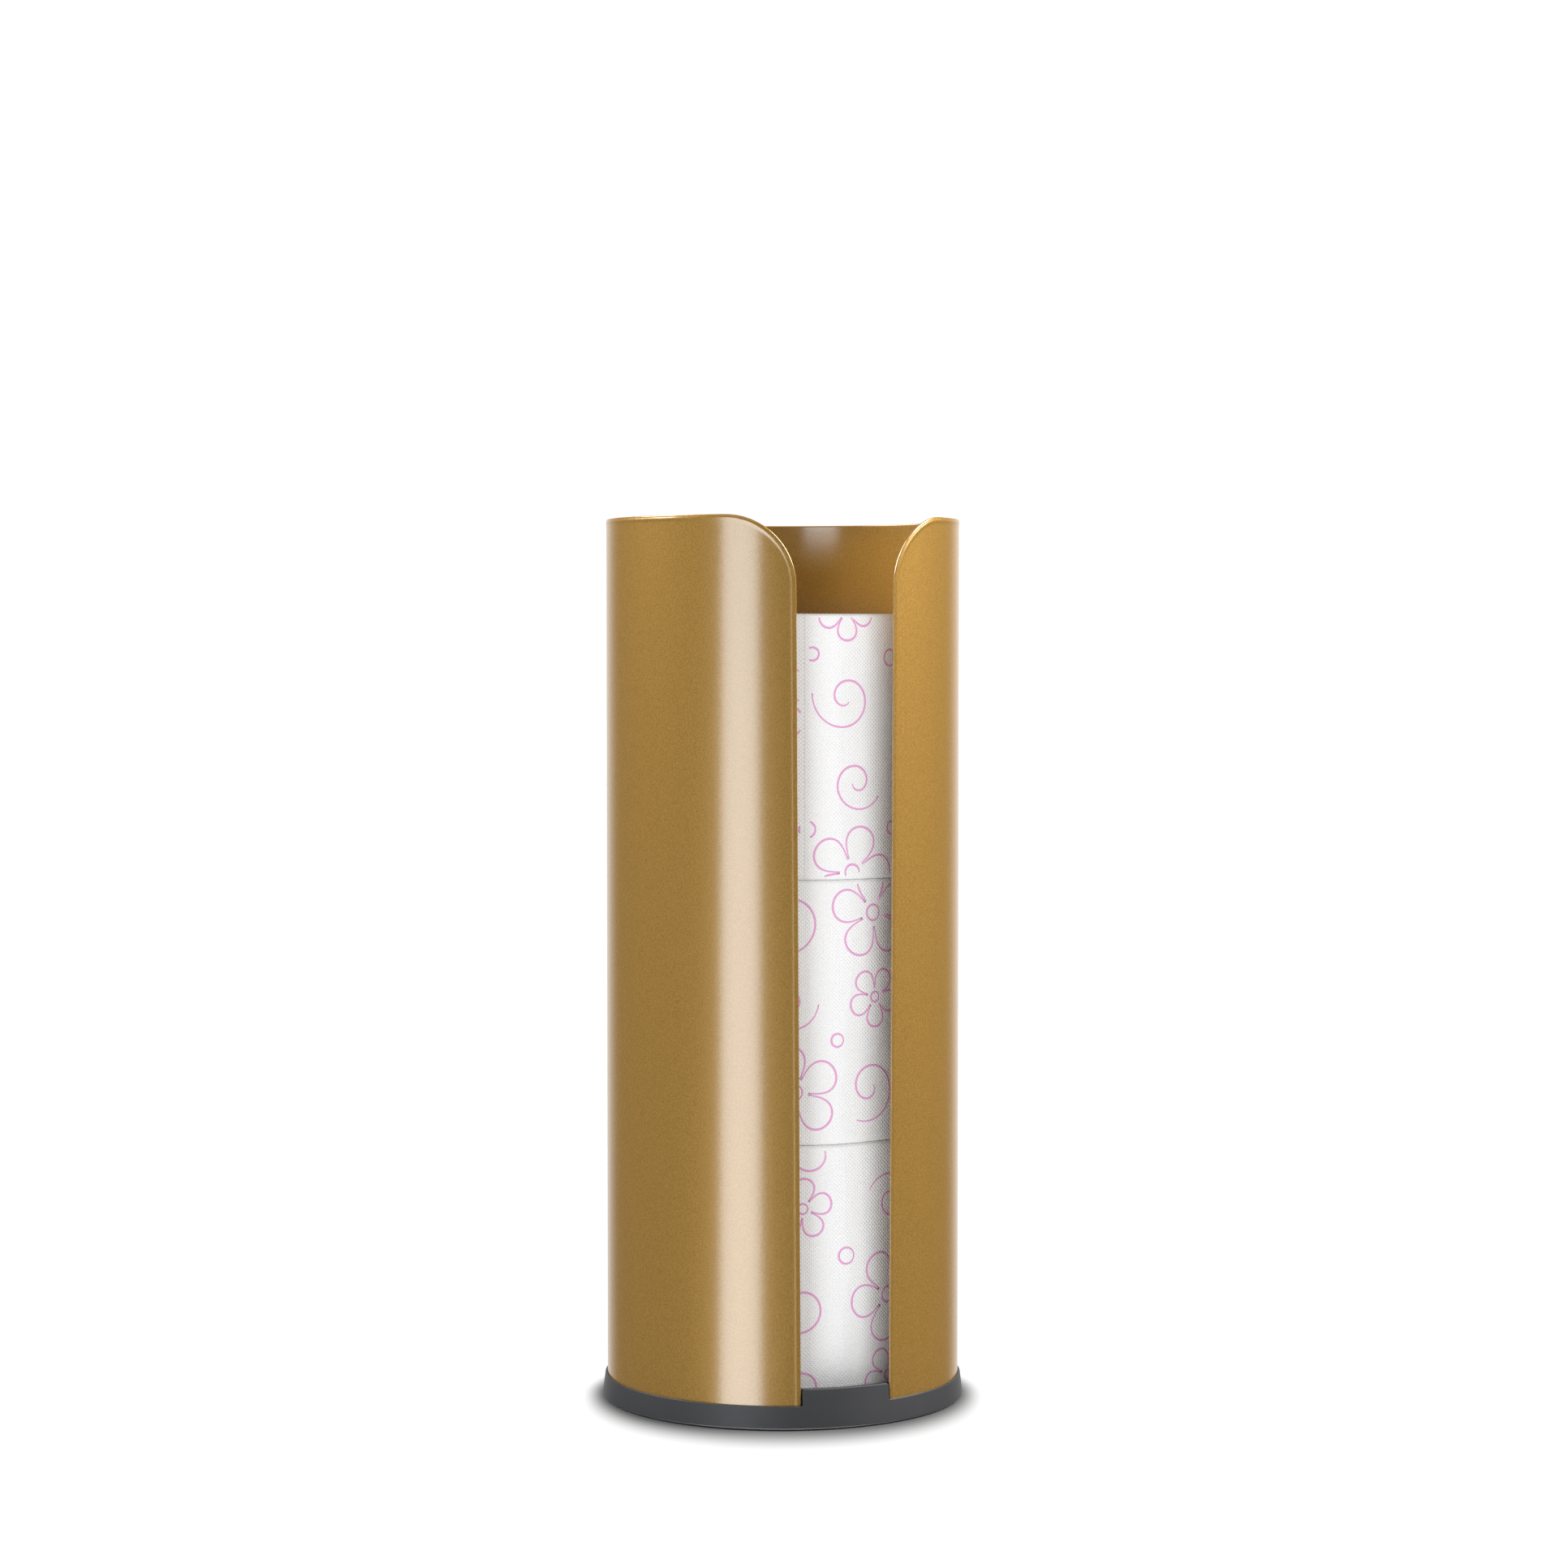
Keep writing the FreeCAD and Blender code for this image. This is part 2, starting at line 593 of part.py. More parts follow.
def check_document():
    document.recompute()
    for item in document.Objects:
        if {"Invalid", "Error"} & set(item.State):
            raise RuntimeError(f"{item.Label}: {item.State}")


def write_parts(pieces):
    os.makedirs("parts", exist_ok=True)
    for piece in pieces:
        if piece.Shape.isNull() or not piece.Shape.isValid():
            raise RuntimeError(f"{piece.Label}: shape is not valid")
        piece.Shape.exportStep(f"parts/{piece.Label}.step")


pieces = [make_shell(), make_base()] + make_pads() + make_rolls()
check_document()
write_parts(pieces)
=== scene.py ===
import bpy
import math
import random
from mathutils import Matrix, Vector, noise


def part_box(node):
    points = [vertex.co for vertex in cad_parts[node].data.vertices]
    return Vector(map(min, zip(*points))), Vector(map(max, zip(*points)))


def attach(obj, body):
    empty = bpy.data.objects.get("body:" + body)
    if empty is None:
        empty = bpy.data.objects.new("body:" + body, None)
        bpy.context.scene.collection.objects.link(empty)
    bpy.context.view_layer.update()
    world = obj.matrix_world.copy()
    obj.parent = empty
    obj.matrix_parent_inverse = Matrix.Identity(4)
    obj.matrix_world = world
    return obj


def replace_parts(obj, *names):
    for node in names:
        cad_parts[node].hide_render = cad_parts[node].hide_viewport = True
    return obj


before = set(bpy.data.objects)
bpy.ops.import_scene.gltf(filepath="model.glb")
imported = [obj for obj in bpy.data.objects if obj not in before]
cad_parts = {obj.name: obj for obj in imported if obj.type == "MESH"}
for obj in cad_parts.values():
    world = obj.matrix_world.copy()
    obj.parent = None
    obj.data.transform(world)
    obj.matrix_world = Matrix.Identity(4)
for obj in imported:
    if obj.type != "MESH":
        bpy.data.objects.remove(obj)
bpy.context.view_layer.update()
SCENE = bpy.context.scene
MM = 0.001
QUARTER_TURN = math.pi / 2.0
FULL_TURN = 2.0 * math.pi
WHITE = (1.0, 1.0, 1.0)

# Camera that matches the photograph: nearly level, with the slot turned to the right of it
VIEW_ANGLE = math.radians(20.9)
CAMERA_DISTANCE = 1326.7 * MM
CAMERA_HEIGHT = 282.6 * MM
CAMERA_TILT = math.radians(2.239)
CAMERA_PAN = math.radians(0.022)
CAMERA_LENS = 80.86
CAMERA_SENSOR = 36.0

# Steel sheet of the shell, and the thicker line of coating along its free edge
SHEET = 1.0 * MM
SLOT_WIDTH_FOOT = 34.6 * MM
SLOT_WIDTH_TOP = 38.2 * MM
SLOT_CORNER = 26.0 * MM
EDGE_ROUND = 0.38 * MM
EDGE_BAND = 6.0 * MM
HARD_EDGE = 0.15 * MM
BEAD_HEIGHT = 0.145 * MM
BEAD_PLACE = 1.3 * MM
BEAD_REACH_INWARD = 0.5 * MM
BEAD_REACH_OUTWARD = 0.38 * MM

# Fineness of the shell's mesh; a spacing above 1 crowds the steps towards the free edge
SLOT_SIDE_ROWS = 26
SLOT_CORNER_STEPS = 24
RIM_STEPS = 200
EDGE_BAND_STEPS = 26
EDGE_BAND_SPACING = 1.7
EDGE_ROUND_STEPS = 6
INNER_BAND_SHARES = (0.2, 0.5, 1.0)

# Wound paper of a roll, its loose end, and where the loose end of each roll lies
BORE_GAP = 0.05 * MM
PAPER_EDGE = 1.3 * MM
PAPER_DENT = 0.70 * MM
PAPER_DENT_SIZE = 26.0 * MM
PAPER_RIPPLE = 0.07 * MM
PAPER_RIPPLE_SIZE = 7.0 * MM
LAYER_DEPTH = 0.35 * MM
EMBOSS_PITCH = 1.05 * MM
TAIL_STEP = 0.4 * MM
TAIL_EDGE = 0.05 * MM
TAIL_TAPER = 6.0 * MM
TAIL_HARD_EDGE = 0.06 * MM
TAIL_ANGLES = {
    "top": math.radians(-12.5),
    "middle": math.radians(74.0),
    "bottom": math.radians(151.0),
}

# Fineness of a roll's mesh, with the places in mm of the columns just behind the loose end
ROLL_ROWS = 42
ROLL_COLUMNS = 262
ROLL_END_RINGS = 22
ROLL_EDGE_STEPS = 5
TAIL_COLUMNS = (0.0, 0.06, 0.3, 0.7, 1.2, 1.8, 2.6, 3.6, 4.8)

# Materials of the wound paper, by their place in its list
PAPER_SIDE = 0
PAPER_END = 1

# Cardboard core with the step of its spiral seam
CORE_WALL = 1.0 * MM
CORE_EDGE = 0.25 * MM
CORE_SEAM_STEP = 0.16 * MM
CORE_SEAM_LEAD = 118.0 * MM
CORE_SEAM_STEEPNESS = 30.0
CORE_COLUMNS = 120
CORE_INNER_ROWS = 60
CORE_OUTER_ROWS = 4

# Strokes of the print; towards its ends a stroke narrows to a share of its width
PRINT_STROKE = 0.85 * MM
PRINT_LIFT = 0.05 * MM
PRINT_SHOULDER = 0.08 * MM
PRINT_SHOULDER_LIFT = 0.02 * MM
PRINT_END_SHARE = 0.45
PRINT_END_CLIP = 0.03

# Tiles of the print, set round the roll and up it
PRINT_TILE_HEIGHT = 64.0 * MM
PRINT_TILES_ROUND = 5
PRINT_TILE_ROWS = range(-1, 3)
PRINT_ROW_OFFSET_SHARE = 0.5
PRINT_JITTER_SHARE = 0.03

# Motifs of a tile: place across and up as shares of the tile, size, then own turn and hand
BLOSSOMS = ((0.24, 0.30, 17.0 * MM, 0.0), (0.72, 0.80, 11.0 * MM, 0.5))
CURLS = ((0.72, 0.28, 13.0 * MM, 0.0, 1.0), (0.24, 0.82, 11.0 * MM, 2.0, -1.0))
RINGS = ((0.48, 0.56, 2.4 * MM), (0.97, 0.54, 3.0 * MM))

# Shapes of the motifs
PETALS = 5
PETAL_ROOT_SHARE = 0.30
PETAL_FULLNESS = 0.75
PETAL_HALF_ANGLE = math.radians(33.0)
PETAL_POINTS = 40
BLOSSOM_EYE_SHARE = 0.17
RING_POINTS = 22
CURL_EYE_SHARE = 0.16
CURL_TIGHTNESS = 1.2
CURL_TURN = math.radians(500.0)
CURL_POINTS = 70

# Rubber pads under the base
PAD_NODES = [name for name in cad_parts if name.endswith("_pad")]

# Floor, and how far from the middle its painted soft shadow starts to fade and ends, at the sides and in
# front
FLOOR_REACH = 6.0
FLOOR_SHADOW_START = 66.5 * MM
FLOOR_SHADOW_END_SIDE = 76.5 * MM
FLOOR_SHADOW_END_FRONT = 103.0 * MM
FLOOR_GLOW = 1.05

# Studio: its brightness on the camera's side and behind the object, and the cosines where it changes
STUDIO_FRONT = 0.10
STUDIO_BACK = 1.1
STUDIO_CHANGE = (0.7, 1.0)

# Light panels: the height that they face, and the cool white of the one that makes the highlight
LIGHT_AIM = 160.0 * MM
COOL_WHITE = (0.965, 1.03, 1.10)


def smooth_step(value):
    """Zero below 0, one above 1, and a soft rise between."""
    value = min(max(value, 0.0), 1.0)
    return value * value * (3.0 - 2.0 * value)


def spread(first, last, count):
    """Evenly spaced values, both ends included."""
    return [first + (last - first) * i / (count - 1) for i in range(count)]


# Nodes of the materials
class Nodes:
    """A material's node tree, with short calls for the nodes used here."""

    def __init__(self, name):
        self.material = bpy.data.materials.new(name)
        self.material.use_nodes = True
        self.tree = self.material.node_tree
        self.shader = self.tree.nodes["Principled BSDF"]

    def add(self, kind, inputs=(), **settings):
        node = self.tree.nodes.new(kind)
        for key, value in settings.items():
            setattr(node, key, value)
        for key, value in dict(inputs).items():
            self.set(node.inputs[key], value)
        return node

    def set(self, socket, value):
        """Links a socket to another one, or gives it a plain value."""
        if isinstance(value, bpy.types.NodeSocket):
            self.tree.links.new(value, socket)
        else:
            socket.default_value = value

    def shade(self, **values):
        for key, value in values.items():
            self.set(self.shader.inputs[key.replace("_", " ")], value)

    def math(self, operation, first, second=0.0):
        node = self.add("ShaderNodeMath", {0: first, 1: second}, operation=operation)
        return node.outputs[0]

    def vector(self, operation, first, second=(0.0, 0.0, 0.0)):
        return self.add("ShaderNodeVectorMath", {0: first, 1: second}, operation=operation).outputs

    def noise(self, place, scale, detail=2.0, rough=0.5):
        """Cloudy values; scale counts the clouds per metre."""
        inputs = {"Vector": place, "Scale": scale, "Detail": detail, "Roughness": rough}
        return self.add("ShaderNodeTexNoise", inputs).outputs["Fac"]

    def between(self, value, low, high):
        """A number that runs from low to high as value runs from 0 to 1."""
        inputs = {"Value": value, "To Min": low, "To Max": high}
        return self.add("ShaderNodeMapRange", inputs).outputs["Result"]

    def window(self, value, low, high, **settings):
        """Zero up to low, one from high on."""
        inputs = {"Value": value, "From Min": low, "From Max": high}
        return self.add("ShaderNodeMapRange", inputs, **settings).outputs["Result"]

    def blend(self, factor, first, second):
        """A mix of two colours; the node's colour sockets are found by number, as their names repeat."""
        node = self.add("ShaderNodeMix", data_type="RGBA")
        for number, value in ((0, factor), (6, first), (7, second)):
            self.set(node.inputs[number], value)
        return node.outputs[2]

    def bump(self, height, distance, strength=1.0, below=None):
        inputs = {"Height": height, "Distance": distance, "Strength": strength}
        node = self.add("ShaderNodeBump", inputs)
        if below is not None:
            self.set(node.inputs["Normal"], below)
        return node.outputs["Normal"]

    def place(self):
        return self.add("ShaderNodeTexCoord").outputs["Object"]

    def uv(self):
        return self.add("ShaderNodeTexCoord").outputs["UV"]


def coating_material():
    """Gold metallic powder coat: fine flakes in the colour, a slight orange peel in the gloss."""
    dark = (0.331, 0.176, 0.0230, 1.0)
    light = (0.478, 0.264, 0.0505, 1.0)
    flake_share = 0.85
    depth = 0.02 * MM
    nodes = Nodes("gold_powder_coat")
    place = nodes.place()
    flakes = nodes.noise(place, scale=2200.0, detail=1.0)
    clouds = nodes.noise(place, scale=900.0, detail=3.0)
    flake_part = nodes.math("MULTIPLY", flakes, flake_share)
    cloud_part = nodes.math("MULTIPLY", clouds, 1.0 - flake_share)
    tone = nodes.window(nodes.math("ADD", flake_part, cloud_part), low=0.33, high=0.67)
    peel = nodes.bump(nodes.noise(place, scale=1500.0, detail=2.0), depth, strength=0.4)
    grain = nodes.bump(flakes, depth, strength=0.6, below=peel)
    nodes.shade(
        Base_Color=nodes.blend(tone, dark, light),
        Metallic=0.58,
        Roughness=nodes.between(clouds, low=0.46, high=0.54),
        Specular_IOR_Level=0.1,
        Coat_Weight=0.82,
        Coat_IOR=2.3,
        Coat_Roughness=0.19,
        Normal=grain,
        Coat_Normal=grain,
    )
    return nodes.material


def plastic_material():
    """Moulded anthracite plastic with a fine spark-eroded grain."""
    dark = (0.027, 0.027, 0.0285, 1.0)
    light = (0.035, 0.035, 0.0372, 1.0)
    nodes = Nodes("anthracite_plastic")
    place = nodes.place()
    grain = nodes.noise(place, scale=1900.0, detail=2.0)
    clouds = nodes.noise(place, scale=60.0, detail=2.0)
    nodes.shade(
        Base_Color=nodes.blend(clouds, dark, light),
        Roughness=nodes.between(grain, low=0.42, high=0.58),
        Normal=nodes.bump(grain, 0.04 * MM, strength=0.5),
    )
    return nodes.material


def rubber_material():
    """Dull black rubber with a little dust."""
    clean = (0.020, 0.020, 0.021, 1.0)
    dusty = (0.055, 0.053, 0.050, 1.0)
    nodes = Nodes("pad_rubber")
    place = nodes.place()
    grain = nodes.noise(place, scale=1200.0, detail=3.0)
    dust = nodes.window(nodes.noise(place, scale=140.0, detail=4.0), low=0.45, high=0.75)
    nodes.shade(
        Base_Color=nodes.blend(dust, clean, dusty),
        Roughness=nodes.between(grain, low=0.72, high=0.92),
        Normal=nodes.bump(grain, 0.06 * MM, strength=0.6),
    )
    return nodes.material


def emboss_height(nodes):
    """Small dots in diagonal rows, raised from the sheet; their height also sets where shade is painted
    at their foot.
    """
    turns = math.pi * math.sqrt(2.0) / EMBOSS_PITCH
    scaled = nodes.vector("MULTIPLY", nodes.uv(), (turns, turns, turns))["Vector"]
    parts = nodes.add("ShaderNodeSeparateXYZ", {"Vector": scaled}).outputs
    waves = nodes.math("MULTIPLY", nodes.math("SINE", parts["X"]), nodes.math("SINE", parts["Y"]))
    return nodes.between(waves, low=0.0, high=1.0)


def tissue_material(name, light, dark):
    """Soft embossed tissue; the two colours are the top and the foot of the embossing, the darker foot
    being painted shade in the hollows between the dots.
    """
    nodes = Nodes(name)
    place = nodes.place()
    dots = emboss_height(nodes)
    fibres = nodes.noise(place, scale=1400.0, detail=3.0, rough=0.6)
    crepe = nodes.noise(place, scale=240.0, detail=3.0, rough=0.6)
    fuzz = nodes.bump(fibres, 0.08 * MM, strength=0.4)
    wrinkles = nodes.bump(crepe, 0.3 * MM, strength=0.35, below=fuzz)
    nodes.shade(
        # The colour darkens towards the foot of each emboss dot: painted shade in its hollow.
        Base_Color=nodes.blend(dots, dark, light),
        Roughness=nodes.between(fibres, low=0.86, high=1.0),
        Specular_IOR_Level=0.2,
        Normal=nodes.bump(dots, 0.19 * MM, below=wrinkles),
    )
    return nodes.material


def white_tissue_material():
    # The light colour is the tissue at the top of the embossing; the dark one is the same tissue in
    # painted shade at its foot.
    light = (0.89, 0.88, 0.875, 1.0)
    dark = (0.79, 0.78, 0.775, 1.0)
    return tissue_material("white_tissue", light, dark)


def pink_print_material():
    # The light colour is the print at the top of the embossing; the dark one is the same print in
    # painted shade at its foot.
    light = (0.80, 0.43, 0.66, 1.0)
    dark = (0.70, 0.34, 0.57, 1.0)
    return tissue_material("pink_print", light, dark)


def roll_end_material():
    """Edges of the wound sheets: fine rings, darker where they lie lower, which is painted shade between
    the sheets.
    """
    dark = (0.78, 0.765, 0.75, 1.0)
    light = (0.93, 0.92, 0.91, 1.0)
    ring_waves = 11000.0
    coarse_waves = 900.0
    ring_share = 0.35
    nodes = Nodes("roll_end_layers")
    place = nodes.place()
    flat = nodes.vector("MULTIPLY", place, (1.0, 1.0, 0.0))["Vector"]
    radius = nodes.vector("LENGTH", flat)["Value"]
    wander = nodes.math("MULTIPLY", nodes.noise(place, scale=55.0, detail=3.0), 1.6 * MM)
    layer = nodes.math("ADD", radius, wander)
    rings = nodes.math("SINE", nodes.math("MULTIPLY", layer, ring_waves))
    coarse = nodes.noise(nodes.math("MULTIPLY", layer, coarse_waves), scale=1.0, detail=3.0)
    height = nodes.math("ADD", nodes.math("MULTIPLY", rings, ring_share), coarse)
    fibres = nodes.noise(place, scale=1500.0, detail=3.0)
    # The colour is darker where the rings lie lower: painted shade between the sheets.
    nodes.shade(
        Base_Color=nodes.blend(nodes.window(height, low=0.1, high=0.75), dark, light),
        Roughness=nodes.between(fibres, low=0.9, high=1.0),
        Specular_IOR_Level=0.1,
        Normal=nodes.bump(height, 0.3 * MM, strength=0.6),
    )
    return nodes.material


def board_material():
    """Grey-brown core board with fibres and darker specks."""
    dark = (0.33, 0.27, 0.20, 1.0)
    light = (0.52, 0.45, 0.36, 1.0)
    speck = (0.20, 0.16, 0.12, 1.0)
    speck_share = 0.5
    nodes = Nodes("core_board")
    place = nodes.place()
    fibres = nodes.noise(place, scale=700.0, detail=5.0, rough=0.65)
    specks = nodes.window(nodes.noise(place, scale=1600.0, detail=2.0), low=0.64, high=0.72)
    paper = nodes.blend(fibres, dark, light)
    nodes.shade(
        Base_Color=nodes.blend(nodes.math("MULTIPLY", specks, speck_share), paper, speck),
        Roughness=nodes.between(fibres, low=0.82, high=0.98),
        Specular_IOR_Level=0.15,
        Normal=nodes.bump(fibres, 0.12 * MM, strength=0.5),
    )
    return nodes.material


# Meshes
class Surface:
    """Points and faces of one piece; an unrolled one keeps each corner's place on the flat sheet."""

    def __init__(self, unrolled=False):
        self.unrolled = unrolled
        self.points = []
        self.faces = []
        self.places = []
        self.kinds = []

    def add_corner(self, point, place=None):
        self.points.append(point)
        return (len(self.points) - 1, place)

    def add_face(self, corners, kind=0):
        self.faces.append([number for number, _ in corners])
        self.places.append([place for _, place in corners])
        self.kinds.append(kind)

    def add_strip(self, here, there, kinds=None):
        """Joins two closed rows of corners that lie side by side."""
        for row in range(len(here)):
            following = (row + 1) % len(here)
            kind = kinds[row] if kinds else 0
            self.add_face((here[row], there[row], there[following], here[following]), kind)


def add_piece(name, body, surface, materials):
    """A smooth mesh object that rides on a body."""
    mesh = bpy.data.meshes.new(name)
    mesh.from_pydata(surface.points, [], surface.faces)
    mesh.shade_smooth()
    for material in materials:
        mesh.materials.append(material)
    mesh.polygons.foreach_set("material_index", surface.kinds)
    if surface.unrolled:
        layer = mesh.uv_layers.new(name="sheet")
        for face, places in zip(mesh.polygons, surface.places):
            for loop, place in zip(face.loop_indices, places):
                layer.data[loop].uv = place
    mesh.update()
    piece = bpy.data.objects.new(name, mesh)
    SCENE.collection.objects.link(piece)
    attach(piece, body)
    return piece


# Shell
class Blank:
    """The flat sheet that is rolled into the shell: lengths run round it from the middle of the back."""

    def __init__(self):
        low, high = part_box("shell")
        self.radius = high.x
        self.foot = low.z
        self.top = high.z

    def half_length(self, height):
        share = (height - self.foot) / (self.top - self.foot)
        slot_width = SLOT_WIDTH_FOOT + (SLOT_WIDTH_TOP - SLOT_WIDTH_FOOT) * share
        half_slot = math.asin(slot_width / 2.0 / self.radius)
        return self.radius * (math.pi - half_slot)

    def half_edge(self):
        """Points of the free edge from the foot up to the rim, each with the way into the sheet."""
        shoulder = self.top - SLOT_CORNER
        points = []
        for height in [self.foot] + spread(self.foot + HARD_EDGE, shoulder, SLOT_SIDE_ROWS):
            points.append((self.half_length(height), height, -1.0, 0.0))
        centre = self.half_length(shoulder) - SLOT_CORNER
        for turn in spread(0.0, QUARTER_TURN, SLOT_CORNER_STEPS + 1)[1:]:
            across = math.cos(turn)
            up = math.sin(turn)
            points.append((centre + SLOT_CORNER * across, shoulder + SLOT_CORNER * up, -across, -up))
        return points

    def whole_edge(self):
        """The free edge up one side of the slot, round the rim and down the other side."""
        half = self.half_edge()
        crown = half[-1][0]
        rim = [(crown * share, self.top, 0.0, -1.0) for share in self.rim_shares()[1:-1]]
        mirrored = [(-along, height, -way, drop) for along, height, way, drop in reversed(half)]
        return half + rim + mirrored

    def rim_shares(self):
        return spread(1.0, -1.0, RIM_STEPS + 1)

    def rolled(self, along, height, depth):
        """A point of the rolled sheet; depth is measured inward from the outer face."""
        angle = along / self.radius
        reach = self.radius - depth
        return (-reach * math.sin(angle), reach * math.cos(angle), height)


def bead_rise(inset):
    """How far the coating stands up at a distance from the free edge."""
    away = inset - BEAD_PLACE
    reach = BEAD_REACH_INWARD if away > 0.0 else BEAD_REACH_OUTWARD
    return BEAD_HEIGHT * math.exp(-0.5 * (away / reach) ** 2)


def edge_section():
    """Points (inset, depth) over the free edge, from the outer face round to the inner one."""
    flat = EDGE_BAND - EDGE_ROUND
    points = [(EDGE_BAND, 0.0)]
    for i in range(1, EDGE_BAND_STEPS + 1):
        inset = EDGE_ROUND + flat * (1.0 - i / EDGE_BAND_STEPS) ** EDGE_BAND_SPACING
        points.append((inset, -bead_rise(inset)))
    start = points[-1][1]
    for i in range(1, EDGE_ROUND_STEPS + 1):
        turn = QUARTER_TURN * i / EDGE_ROUND_STEPS
        drop = EDGE_ROUND * (1.0 - math.cos(turn))
        points.append((EDGE_ROUND * (1.0 - math.sin(turn)), start + drop))
    for i in range(EDGE_ROUND_STEPS + 1):
        turn = QUARTER_TURN * i / EDGE_ROUND_STEPS
        inset = EDGE_ROUND * (1.0 - math.cos(turn))
        points.append((inset, SHEET - EDGE_ROUND * (1.0 - math.sin(turn))))
    for share in INNER_BAND_SHARES:
        points.append((EDGE_ROUND + flat * share, SHEET))
    return points


def sweep_edge(surface, blank):
    """Carries the section of the edge along the whole free edge and returns its rows of corners."""
    section = edge_section()
    rows = []
    for along, height, way, drop in blank.whole_edge():
        row = []
        for inset, depth in section:
            point = blank.rolled(along + way * inset, height + drop * inset, depth)
            row.append(surface.add_corner(point))
        rows.append(row)
    for here, there in zip(rows, rows[1:]):
        for i in range(len(section) - 1):
            surface.add_face((here[i], here[i + 1], there[i + 1], there[i]))
    return rows


def fill_face(surface, blank, border, depth, outside):
    """Fills one face of the sheet up to the border of the edge band and returns its lowest row."""
    half = blank.half_edge()
    shares = blank.rim_shares()
    last_row = len(half) - 1
    last_column = len(shares) - 1
    grid = []
    for row, (along, height, way, drop) in enumerate(half):
        reach = along + way * EDGE_BAND
        level = height + drop * EDGE_BAND
        line = []
        for column, share in enumerate(shares):
            if column == 0:
                line.append(border[row])
            elif column == last_column:
                line.append(border[-1 - row])
            elif row == last_row:
                line.append(border[row + column])
            else:
                line.append(surface.add_corner(blank.rolled(reach * share, level, depth)))
        grid.append(line)
    for low, high in zip(grid, grid[1:]):
        for i in range(last_column):
            quad = (low[i], high[i], high[i + 1], low[i + 1])
            surface.add_face(quad if outside else quad[::-1])
    return grid[0]


def shell_piece(material):
    """The rolled sheet with its rounded and coated free edge."""
    blank = Blank()
    surface = Surface()
    rows = sweep_edge(surface, blank)
    outer = fill_face(surface, blank, [row[0] for row in rows], 0.0, outside=True)
    inner = fill_face(surface, blank, [row[-1] for row in rows], SHEET, outside=False)
    for i in range(len(outer) - 1):
        surface.add_face((outer[i], outer[i + 1], inner[i + 1], inner[i]))
    surface.add_face(rows[0][::-1])
    surface.add_face(rows[-1])
    piece = add_piece("shell_sheet", "holder", surface, [material])
    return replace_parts(piece, "shell")


# Rolls
class Roll:
    """The wound paper of one roll: a spiral whose loose end lies on the outside."""

    def __init__(self, place):
        self.place = place
        self.body = f"{place}_roll"
        paper_low, paper_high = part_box(f"{place}_roll_paper")
        core_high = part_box(f"{place}_roll_core")[1]
        self.foot = paper_low.z
        self.top = paper_high.z
        self.bore = core_high.x + BORE_GAP
        corners = (-paper_low.x, -paper_low.y, paper_high.x, paper_high.y)
        self.radius = max(corners) - TAIL_STEP
        self.tail = TAIL_ANGLES[place] - QUARTER_TURN
        self.length_round = FULL_TURN * self.radius

    def reach(self, turn, height):
        """Radius of the outermost sheet; turn is measured from the loose end."""
        spiral = TAIL_STEP * (1.0 - smooth_step((turn - math.pi) / math.pi))
        taper = (TAIL_STEP - TAIL_EDGE) * math.exp(-turn * self.radius / TAIL_TAPER)
        spot = Vector(self.point(turn, self.radius, height))
        dent = noise.noise(spot / PAPER_DENT_SIZE) * PAPER_DENT
        ripple = noise.noise(spot / PAPER_RIPPLE_SIZE) * PAPER_RIPPLE
        return self.radius - PAPER_DENT + spiral - taper + dent + ripple

    def point(self, turn, radius, height):
        angle = self.tail + turn
        return (radius * math.cos(angle), radius * math.sin(angle), height)

    def levels(self):
        """Heights of the rows on the side, between its soft edges."""
        return spread(self.foot + PAPER_EDGE, self.top - PAPER_EDGE, ROLL_ROWS)

    def turns(self):
        """Turns of the columns round the roll, closer together at the loose end."""
        near = [place * MM / self.radius for place in TAIL_COLUMNS]
        last = FULL_TURN - TAIL_HARD_EDGE / self.radius
        return near[:-1] + spread(near[-1], last, ROLL_COLUMNS) + [FULL_TURN]


def layer_depths(seed):
    """Uneven depths of the wound sheets at one end of a roll."""
    chance = random.Random(seed)
    return [chance.random() * LAYER_DEPTH for _ in range(ROLL_END_RINGS)]


def roll_end(roll, turn, edge, inward, depths):
    """Points (radius, height, length along the sheet) from the bore out and over one soft edge."""
    reach = roll.reach(turn, edge + inward * PAPER_EDGE)
    points = []
    for ring, depth in enumerate(depths):
        share = ring / ROLL_END_RINGS
        radius = roll.bore + (reach - PAPER_EDGE - roll.bore) * share
        points.append((radius, edge + inward * depth, edge - inward * (reach - radius)))
    for step in range(ROLL_EDGE_STEPS):
        slope = QUARTER_TURN * step / ROLL_EDGE_STEPS
        radius = reach - PAPER_EDGE * (1.0 - math.sin(slope))
        height = edge + inward * PAPER_EDGE * (1.0 - math.cos(slope))
        points.append((radius, height, height - inward * (reach - radius)))
    return points


def roll_section(roll, turn, foot_depths, top_depths):
    """Points of the wound paper at one turn: over the foot, up the side and over the top."""
    foot = roll_end(roll, turn, roll.foot, 1.0, foot_depths)
    side = [(roll.reach(turn, height), height, height) for height in roll.levels()]
    top = roll_end(roll, turn, roll.top, -1.0, top_depths)
    return foot + side + top[::-1]


